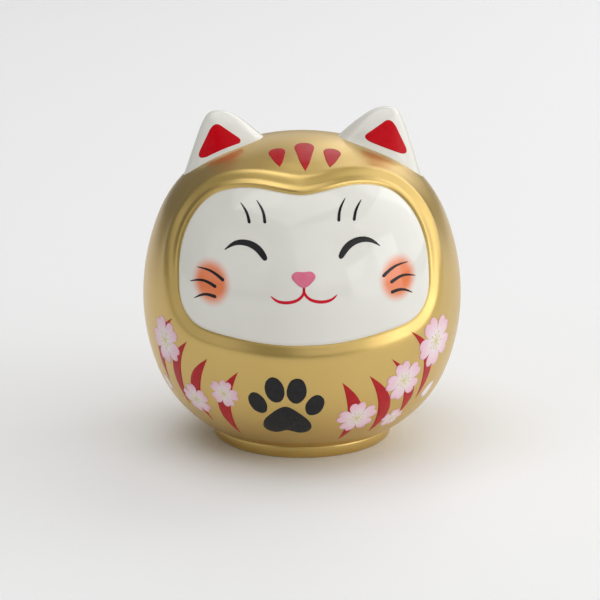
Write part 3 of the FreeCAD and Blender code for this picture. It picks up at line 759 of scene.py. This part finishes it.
# ---------------------------------------------------------------- body
def spaced(stops):
    """Places along a line from (end, spacing) stops, starting at the first end."""
    places = [stops[0][0]]
    for (start, _), (end, spacing) in zip(stops, stops[1:]):
        count = max(1, int(round(abs(end - start) / spacing)))
        places += list(np.linspace(start, end, count + 1)[1:])
    return np.array(places)


def bezier(start, corner, end, count):
    """Rounded corner: points after the start, up to the end."""
    t = np.linspace(0.0, 1.0, count + 1)[1:, None]
    start, corner, end = (np.array(point, float) for point in (start, corner, end))
    return (1 - t) ** 2 * start + 2 * t * (1 - t) * corner + t * t * end


def rounded_path(corners, radius, steps=5):
    """Section path with its inner corners rounded; corners are (r, z)."""
    path = [np.array(corners[0], float)[None]]
    for before, corner, after in zip(corners, corners[1:], corners[2:]):
        corner = np.array(corner, float)
        legs = [np.array(end, float) - corner for end in (before, after)]
        cuts = [leg * min(radius, 0.45 * np.linalg.norm(leg)) / np.linalg.norm(leg) for leg in legs]
        path.append((corner + cuts[0])[None])
        path.append(bezier(corner + cuts[0], corner, corner + cuts[1], steps))
    path.append(np.array(corners[-1], float)[None])
    return np.concatenate(path)


def rounded_outline(corners, radius, count):
    """Closed outline of straight sides and rounded corners, as count even samples."""
    corners = np.asarray(corners, float)
    middle = (corners[0] + corners[-1]) / 2
    return evened(rounded_path([middle, *corners, middle], radius, 12), count, True)


def columns():
    """Azimuths of the body's grid: fine across the front and round the slot."""
    front, slot, side = 0.55, 0.45, 1.6
    per_degree = EQUATOR_RADIUS * math.pi / 180
    stops = [(-78.0, 0.0), (78.0, front / per_degree), (157.0, side / per_degree),
             (203.0, slot / per_degree), (282.0, side / per_degree)]
    return np.radians(spaced(stops)[:-1])


def shell_rows():
    """Lengths s of the outside's rows, close together where the rim and the slot are."""
    stops = [(0.35, 0.0), (length_at(113.0), 1.4), (length_at(34.0), 0.5), (SECTION_LENGTH, 1.0)]
    return spaced(stops)


def make_body_shell():
    """Dome with the rim, the pocket and the slot, its hollow and its open bottom."""
    turns = columns()
    plain, normal = base_point(*np.meshgrid(turns, shell_rows()))
    outside = plain + normal * body_lift(plain)[..., None]
    inner_turn, inner_s = np.meshgrid(turns, spaced([(SECTION_LENGTH, 0.0), (0.6, 2.4)]))
    inside = base_point(inner_turn, inner_s, np.full(inner_s.shape, -WALL))[0]
    grid = np.concatenate([outside, inside])
    count = len(turns)
    top = TABLE[0, 1]
    points = np.concatenate([grid.reshape(-1, 3), [[0, 0, top], [0, 0, top - WALL]]])
    faces = grid_faces(len(grid), count, wrap=True, flip=True)
    last = (len(grid) - 1) * count
    faces += fan(len(points) - 2, range(count), flip=True)
    faces += fan(len(points) - 1, range(last, last + count))
    piece = new_piece("shell", points, faces, [GOLD, BARE])
    cut_slot(piece)
    bare_inside(piece)
    stand_for("body_shell")


def cut_slot(piece):
    """Cuts the coin slot through the back of the head."""
    angles = np.linspace(-math.pi / 2, math.pi / 2, 15)
    right = SLOT_HEIGHT / 2 * np.stack([np.cos(angles), np.sin(angles)], 1) + (SLOT_STRAIGHT, 0.0)
    outline = np.concatenate([right, -right])
    count = len(outline)
    in_the_hollow, behind_the_head = 30.0, 70.0
    rings = [np.stack([outline[:, 0], np.full(count, y), outline[:, 1] + SLOT_CENTRE_HEIGHT], 1)
             for y in (in_the_hollow, behind_the_head)]
    faces = grid_faces(2, count, wrap=True)
    faces += [tuple(range(count))[::-1], tuple(range(count, 2 * count))]
    cutter = new_mesh("slot_cutter", np.concatenate(rings), faces)
    outward(cutter)
    cut = piece.modifiers.new("slot", "BOOLEAN")
    cut.operation = "DIFFERENCE"
    cut.solver = "MANIFOLD"
    cut.object = cutter
    bpy.context.view_layer.objects.active = piece
    bpy.ops.object.modifier_apply(modifier="slot")
    bpy.data.objects.remove(cutter)


def bare_inside(piece):
    """Bare ceramic on every face that looks into the hollow."""
    centres = face_centres(piece.data)
    plain, normal = base_point(*nearest(centres))
    depth = ((centres - plain) * normal).sum(1)
    margin = 0.6
    use_second_material(piece.data, depth < margin - WALL)


def make_foot_base():
    """Foot ring and base floor, up to the groove where the shell stands on it."""
    turns = np.radians(spaced([(0.0, 0.0), (360.0, 1.5)])[:-1])
    neck = TABLE[-1]
    floor = neck[:2] - WALL * neck[2:]
    in_the_hole, rounding, steps = 2.0, 0.9, 14
    corners = [(HOLE_RADIUS, neck[1] + in_the_hole), (HOLE_RADIUS, neck[1]),
               (FOOT_INNER_RADIUS - FOOT_EDGE, neck[1]), (FOOT_INNER_RADIUS, 0.0),
               (FOOT_REST_RADIUS, 0.0)]
    widest = (FOOT_OUTER_RADIUS - FOOT_TOP_EDGE, neck[1] - FOOT_TOP_EDGE / 2)
    side = bezier(corners[-1], (FOOT_OUTER_RADIUS, 0.2), widest, steps)
    ledge = (widest[0] - FOOT_TOP_EDGE / 2, neck[1])
    closing_path = [ledge, neck[:2], floor, [HOLE_RADIUS, floor[1]]]
    path = np.concatenate([rounded_path(corners, rounding), side, closing_path])
    count = len(turns)
    faces = grid_faces(len(path), count, wrap=True)
    faces += side_faces(range(count), (len(path) - 1) * count)
    points = about_axis(path[:, :1], path[:, 1:], turns).reshape(-1, 3)
    piece = new_piece("foot", points, faces, [GOLD, BARE])
    radius = np.linalg.norm(face_centres(piece.data)[:, :2], axis=1)
    gold_starts = FOOT_REST_RADIUS + 0.5
    use_second_material(piece.data, radius < gold_starts)
    stand_for("foot_base")


def make_face():
    """White face: domed front, thin rounded edge under the rim, flat back on the pocket's floor."""
    middle_height = 76.0
    edge_starts, under_the_rim = 0.93, 1.004
    outline = nearest(OUTLINE[::2])
    middle = nearest(base_point(np.array(0.0), length_at(middle_height))[0])
    shares = np.concatenate([np.linspace(0.0, edge_starts, 60),
                             np.linspace(edge_starts, 1.0, 12)[1:], [under_the_rim]])
    turn, s = (start + shares[:, None] * (end - start) for start, end in zip(middle, outline))
    plain, normal = base_point(turn, s)
    front = plain + normal * face_lift(plain)[..., None]
    back = plain - normal * POCKET_DEPTH
    points, faces = closed_disc((front[0, :1], front[1:]), (back[0, :1], back[1:]))
    piece = new_piece("face", points, faces, [FACE_WHITE])
    stand_for("face_panel")


# ---------------------------------------------------------------- ears
class Ear:
    """One ear: rounded sections from the root up to the tip."""

    def __init__(self, side):
        self.sign = -1 if side == "left" else 1
        self.offset = EAR_OFFSET[side]
        self.drop = EAR_DROP[side]

    def section(self, rise):
        """Middle x, half width and half depth at a rise from 0 at the root to 1 at the tip."""
        outer = smooth_through(EAR_RISE, EAR_OUTER, rise)
        inner = smooth_through(EAR_RISE, EAR_INNER_EDGE, rise)
        return (outer + inner) / 2, (outer - inner) / 2, EAR_DEPTH * (1 - rise)

    def height(self, rise):
        """Height at a rise; the steps shrink towards the tip, which rounds it."""
        return EAR_ROOT - self.drop + (EAR_TIP - EAR_ROOT) * np.sin(rise * math.pi / 2)

    def rise_at(self, height):
        """Rise at a height."""
        share = (height - EAR_ROOT + self.drop) / (EAR_TIP - EAR_ROOT)
        return np.arcsin(np.clip(share, 0.0, 1.0)) * 2 / math.pi

    def front(self, flat, lift):
        """Points on the ear's front at (x, z), lifted off it."""
        flat = np.asarray(flat, float)
        def depth_at(x, z):
            middle, half, depth = self.section(self.rise_at(z))
            across = np.clip(np.abs(self.sign * (x - self.offset) - middle) / half, 0.0, 1.0)
            return EAR_SET_BACK - depth * (1 - across ** EAR_SQUARENESS) ** (1 / EAR_SQUARENESS)
        x, z = flat[..., 0], flat[..., 1]
        step = 0.05
        slope_x = (depth_at(x + step, z) - depth_at(x - step, z)) / (2 * step)
        slope_z = (depth_at(x, z + step) - depth_at(x, z - step)) / (2 * step)
        normal = np.stack([slope_x, -np.ones(x.shape), slope_z], -1)
        normal /= np.linalg.norm(normal, axis=-1, keepdims=True)
        return np.stack([x, depth_at(x, z), z], -1) + normal * lift


def make_ear(side):
    """Ear with a small fillet where it meets the crown."""
    ear = Ear(side)
    rises = np.linspace(0.0, 1.0, 90)[:-1]
    ring = circle(144)
    ring = np.sign(ring) * np.abs(ring) ** (2 / EAR_SQUARENESS)
    middle, half, depth = ear.section(rises)
    x = middle[:, None] + half[:, None] * ring[:, 0]
    y = EAR_SET_BACK + depth[:, None] * ring[:, 1]
    z = ear.height(rises)[:, None] + 0 * x
    grid = seated(np.stack([ear.sign * x + ear.offset, y, z], -1), ear)
    tip = np.array([[ear.sign * smooth_through(EAR_RISE, EAR_OUTER, 1.0) + ear.offset,
                     EAR_SET_BACK, EAR_TIP - ear.drop]])
    root = grid[0].mean(0)[None]
    points = np.concatenate([grid.reshape(-1, 3), tip, root])
    rows, count = x.shape
    faces = grid_faces(rows, count, wrap=True)
    faces += fan(rows * count, range((rows - 1) * count, rows * count))
    faces += fan(rows * count + 1, range(count), flip=True)
    piece = new_piece("ear_skin_" + side, points, faces, [EAR_WHITE])
    stand_for("ear_" + side)


def height_above(points):
    """Height of each point above the plain body, and the body's normal there."""
    plain, normal = base_point(*nearest(points))
    return ((points - plain) * normal).sum(-1), normal


def seated(grid, ear):
    """Flares the ear where it meets the body, and keeps its root inside the wall."""
    above = height_above(grid)[0]
    middle = np.array([ear.sign * EAR_MIDDLE + ear.offset, EAR_SET_BACK, 0.0])
    out = (grid - middle) * [1.0, 1.0, 0.0]
    out /= np.maximum(np.linalg.norm(out, axis=-1, keepdims=True), 1e-6)
    flare = EAR_FLARE * np.exp(-np.maximum(above, 0.0) / EAR_FLARE_REACH)
    grid = grid + out * flare[..., None]
    above, normal = height_above(grid)
    return grid + normal * np.maximum(-EAR_SUNK - above, 0.0)[..., None]


def make_ear_inner(side):
    """Red inside of the ear."""
    ear = Ear(side)
    outline = rounded_outline(EAR_RED, EAR_RED_ROUNDING, 150)
    outline[:, 0] = ear.sign * outline[:, 0] + ear.offset
    outline[:, 1] -= ear.drop
    film = disc_film(ear.front, outline, outline.mean(0), 14)
    mark("ear_red_" + side, "ear_inner_" + side, [film], [EAR_RED_COLOUR])


# ---------------------------------------------------------------- marks on the face
def stroke_film(points, widths, left=False, round_end=True):
    """Brush stroke on the face as a closed film; its round end comes to a blunt point."""
    count, blunt = 56, 0.06
    middle = spline(points, count)
    share = np.linspace(0.0, 1.0, count)
    width = smooth_through(np.linspace(0.0, 1.0, len(widths)), widths, share)
    if round_end:
        last = width[-1]
        run = np.linalg.norm(np.diff(middle, axis=0), axis=1).sum() * (1 - share)
        closing = np.sqrt(np.clip(1 - (1 - np.clip(run / (last / 2), 0, 1)) ** 2, 0, 1))
        width = width * np.maximum(closing, blunt)
    along = np.gradient(middle, axis=0)
    along /= np.linalg.norm(along, axis=1, keepdims=True)
    normal = np.stack([-along[:, 1], along[:, 0]], 1)
    across = np.linspace(-0.5, 0.5, 7)
    flat = middle[:, None] + across[None, :, None] * (normal * width[:, None])[:, None]
    flat = lean(flat, left) + (MARKS_SHIFT, 0.0)
    return strip_film(*(on_face(flat, lift) for lift in FILM))


def mark(name, node, parts, materials, tones=None):
    """Piece from films; tones tell the petals' colour, 0 in the middle and 1 at the edge."""
    points, faces = joined(parts)
    piece = new_piece(name, points, faces, materials)
    if tones is not None:
        layer = piece.data.attributes.new("tone", "FLOAT", "POINT")
        layer.data.foreach_set("value", np.asarray(tones, np.float32))
    stand_for(node)
    return piece


def make_face_marks():
    """Eyes, brows, whiskers, nose and mouth."""
    for side in ("left", "right"):
        for name, node, strokes in (("eye_line_", "eye_", [EYE]),
                                    ("brow_lines_", "brow_strokes_", BROWS),
                                    ("whisker_lines_", "whiskers_", WHISKERS)):
            parts = [stroke_film(*stroke, side == "left") for stroke in strokes]
            mark(name + side, node + side, parts, [BLACK])
    curls = [stroke_film(*MOUTH, left, round_end=False) for left in (True, False)]
    mark("mouth_line", "mouth", curls, [MOUTH_RED])
    outline = lean(spline(mirrored(NOSE_HALF), 96, closed=True)) + (MARKS_SHIFT, 0.0)
    nose = disc_film(on_face, outline, outline.mean(0), 8, (1.6 * FILM_TOP, FILM_BACK))
    mark("nose_mark", "nose", [nose], [NOSE_PINK])


# ---------------------------------------------------------------- marks on the body
def stripe_film(stripe):
    """One crescent between its outer and inner edges."""
    top, outer_high, outer_low, bottom, inner_low, inner_high = stripe
    flank_radius = 50.0
    to_mm = [math.radians(flank_radius), 1.0]
    outer, inner = (spline(np.array(side) * to_mm, 60) / to_mm
                    for side in ((top, outer_high, outer_low, bottom),
                                 (top, inner_high, inner_low, bottom)))
    share = np.linspace(0.0, 1.0, 9)[None, :, None]
    flat = outer[:, None] * (1 - share) + inner[:, None] * share
    turn = np.radians(flat[..., 0])
    s = length_at(flat[..., 1])
    return strip_film(*(on_body(turn, s, lift) for lift in FILM))


def blossom_outline(radius):
    """Notched petals round a middle, (across, up)."""
    turn = np.radians([turn for reach, turn in PETAL_HALF])
    reach = np.array([reach for reach, turn in PETAL_HALF])
    half = spline(np.stack([reach * np.sin(turn), reach * np.cos(turn)], 1), 16)
    petal = np.concatenate([half[:-1] * [-1, 1], half[::-1][:-1]])
    return np.concatenate([turned(petal, -360.0 / PETALS * k) for k in range(PETALS)]) * radius


def stamen_films(patch, radius):
    """Fine yellow filaments with dots at their ends, and a small heart."""
    heart = circle(12) * HEART_RADIUS * radius
    lifts = (2.6 * FILM_TOP, 0.5 * FILM_TOP)
    parts = [disc_film(patch.place, heart, (0.0, 0.0), 2, lifts)]
    for number in range(FILAMENTS):
        turn = 2 * math.pi * (number + 0.5) / FILAMENTS
        reach = radius * FILAMENT_REACH[number % 2]
        along = np.array([math.sin(turn), math.cos(turn)])
        across = np.array([along[1], -along[0]])
        steps = np.linspace(0.08 * radius, reach, 5)[:, None, None]
        sides = np.array([-0.5, 0.5])[None, :, None] * FILAMENT_WIDTH * radius
        flat = steps * along + sides * across
        parts.append(strip_film(*(patch.place(flat, lift) for lift in lifts)))
        dot = along * reach + heart * DOT_SIZE
        parts.append(disc_film(patch.place, dot, along * reach, 1, lifts))
    return parts


def make_blossom(number, azimuth, height, radius, roll):
    """One blossom: petals with stamens on top."""
    patch = Patch(azimuth, height, roll)
    outline = blossom_outline(radius)
    rings = 12
    petals = disc_film(patch.place, outline, (0.0, 0.0), rings, PETAL_FILM)
    shares = np.linspace(0, 1, rings + 1)[1:, None]
    face_tones = [0.0, *(shares * np.linalg.norm(outline, axis=1) / radius).ravel()]
    stamens = stamen_films(patch, radius)
    extra = sum(len(points) for points, faces in stamens)
    piece = mark("blossom_print_%d" % number, "blossom_%d" % number,
                 [petals] + stamens, [BLOSSOM, STAMEN], face_tones * 2 + [0.0] * extra)
    first = len(petals[0])
    use_second_material(piece.data, [face.vertices[0] >= first for face in piece.data.polygons])


def make_loose_petals():
    """Two fallen petals, paler at their edge than the others."""
    rings, middle_tone, edge_tone = 6, 0.2, 0.45
    parts = []
    tones = []
    for azimuth, height, radius, roll in LOOSE_PETALS:
        outline = mirrored(spline(FALLEN_HALF, 20)) * radius
        place = Patch(azimuth, height, roll).place
        parts.append(disc_film(place, outline, (0.0, 0.0), rings, PETAL_FILM))
        shares = np.linspace(0, 1, rings + 1)[1:]
        tones += [middle_tone, *np.repeat(shares * edge_tone, len(outline))] * 2
    mark("fallen_petals", "loose_petals", parts, [BLOSSOM], tones)


def teardrop(length, width):
    """Wide round top and one sharp tip, (across, up)."""
    half = length / 2
    shoulder = half - 0.42 * width
    return mirrored(spline([(0.0, half), (0.30 * width, half - 0.10 * width), (0.5 * width, shoulder),
                            (0.45 * width, shoulder * 0.3), (0.25 * width, -half * 0.5),
                            (0.0, -half)], 50))


def make_forehead_marks():
    """Three red teardrops above the face."""
    for side, (x, y, length, width, roll) in FOREHEAD_MARKS.items():
        azimuth = math.degrees(math.atan2(x, -y))
        height = np.interp(math.hypot(x, y), TABLE[:CROWN_ROWS, 0], TABLE[:CROWN_ROWS, 1])
        place = Patch(azimuth, height, roll - azimuth).place
        film = disc_film(place, teardrop(length, width), (0.0, 0.25 * length), 14)
        mark("forehead_print_" + side, "forehead_mark_" + side, [film], [ROBE_RED])


def brushed(outline, seed):
    """Slight unevenness of a brushed edge, some waves round it added up; a seed sets them apart."""
    count = len(outline)
    angle = np.linspace(0.0, 2 * math.pi, count, endpoint=False)
    wobble = sum(math.cos(seed * k * 1.7) * np.sin(k * angle + seed * k) / k for k in (5, 9, 14, 23))
    away = outline - outline.mean(0)
    size = np.linalg.norm(away, axis=1, keepdims=True)
    depth = 0.28
    return outline + away / size * (depth * wobble)[:, None]


def make_chest_emblem():
    """Paw print brushed on the belly."""
    place = Patch(*PAW_PLACE).place
    parts = []
    for seed, (across, up, half_width, half_height, roll) in enumerate(PAW_PADS, start=1):
        oval = circle(96) * (half_width, half_height)
        outline = brushed(turned(oval, roll) + (across, up), seed)
        parts.append(disc_film(place, outline, (across, up), 8))
    heel = brushed(spline(mirrored(HEEL_HALF), 160, closed=True), len(PAW_PADS) + 2)
    parts.append(disc_film(place, heel, HEEL_MIDDLE, 12))
    mark("paw_print", "chest_emblem", parts, [BLACK])


# ---------------------------------------------------------------- scene
def finish_stopper():
    """The stopper keeps its CAD shape and gets its rubber."""
    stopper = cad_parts["stopper"]
    stopper.data.materials.clear()
    stopper.data.materials.append(RUBBER)


def make_floor():
    """Plain pale floor."""
    half = 6.0 / MM
    floor = new_mesh("floor", [(-half, -half, 0), (half, -half, 0), (half, half, 0), (-half, half, 0)],
                     [(0, 1, 2, 3)])
    pale = new_material("pale_floor", Roughness=0.6, Base_Color=(0.93, 0.93, 0.93, 1.0))[0]
    floor.data.materials.append(pale)


def aimed(name, data, target, azimuth, elevation, distance):
    """Lamp or camera that looks at a target from an azimuth and elevation in degrees."""
    turn, tilt = math.radians(azimuth), math.radians(elevation)
    away = Vector((math.sin(turn) * math.cos(tilt), -math.cos(turn) * math.cos(tilt), math.sin(tilt)))
    item = link(name, data)
    item.location = Vector(target) + away * distance
    item.rotation_mode = "QUATERNION"
    item.rotation_quaternion = (-away).to_track_quat("-Z", "Y")
    return item


def softbox(name, azimuth, elevation, size, strength):
    """Large soft light far off, aimed at the doll; strength is what reaches it."""
    distance, doll_middle = 4.0, (0.0, 0.0, 0.06)
    light = bpy.data.lights.new(name, "AREA")
    light.shape = "RECTANGLE"
    light.size, light.size_y = size
    light.energy = strength * math.pi * distance ** 2
    aimed(name, light, doll_middle, azimuth, elevation, distance)


def make_lights():
    """Soft studio light: a dim tent, a wall of light on the right, and weaker ones around."""
    world = bpy.data.worlds.new("studio")
    world.use_nodes = True
    background = world.node_tree.nodes["Background"]
    background.inputs["Color"].default_value = (1.0, 1.0, 1.0, 1.0)
    background.inputs["Strength"].default_value = 0.19
    bpy.context.scene.world = world
    softbox("right", 94.0, 28.0, (5.6, 3.2), 1.42)
    softbox("low_right", 60.0, 12.0, (2.6, 2.0), 0.50)
    softbox("back_right", 146.0, 40.0, (3.6, 2.8), 0.62)
    softbox("back", 172.0, 24.0, (3.8, 2.2), 0.30)
    softbox("back_left", -115.0, 68.0, (3.0, 2.2), 0.36)
    softbox("front_left", -60.0, 20.0, (3.2, 2.0), 0.22)
    softbox("front", 22.0, 35.0, (3.8, 2.9), 0.52)
    softbox("overhead", -50.0, 80.0, (3.6, 3.6), 0.95)


def make_camera():
    """Long lens a little above the doll, a touch to its right."""
    data = bpy.data.cameras.new("camera")
    data.lens = 110.6
    data.sensor_width = 36.0
    target = (-0.76 * MM, 0.0, 51.73 * MM)
    azimuth, elevation, distance = -1.2, 14.63, 0.700
    bpy.context.scene.camera = aimed("camera", data, target, azimuth, elevation, distance)


make_camera()
make_body_shell()
make_foot_base()
make_face()
for ear_side in ("left", "right"):
    make_ear(ear_side)
    make_ear_inner(ear_side)
make_face_marks()
for robe_side in ("left", "right"):
    mark("robe_print_" + robe_side, "robe_stripes_" + robe_side,
         [stripe_film(stripe) for stripe in STRIPES[robe_side]], [ROBE_RED])
for blossom_number, blossom in enumerate(BLOSSOMS, start=1):
    make_blossom(blossom_number, *blossom)
make_loose_petals()
make_forehead_marks()
make_chest_emblem()
finish_stopper()
make_floor()
make_lights()
bpy.context.scene.view_settings.view_transform = "Standard"
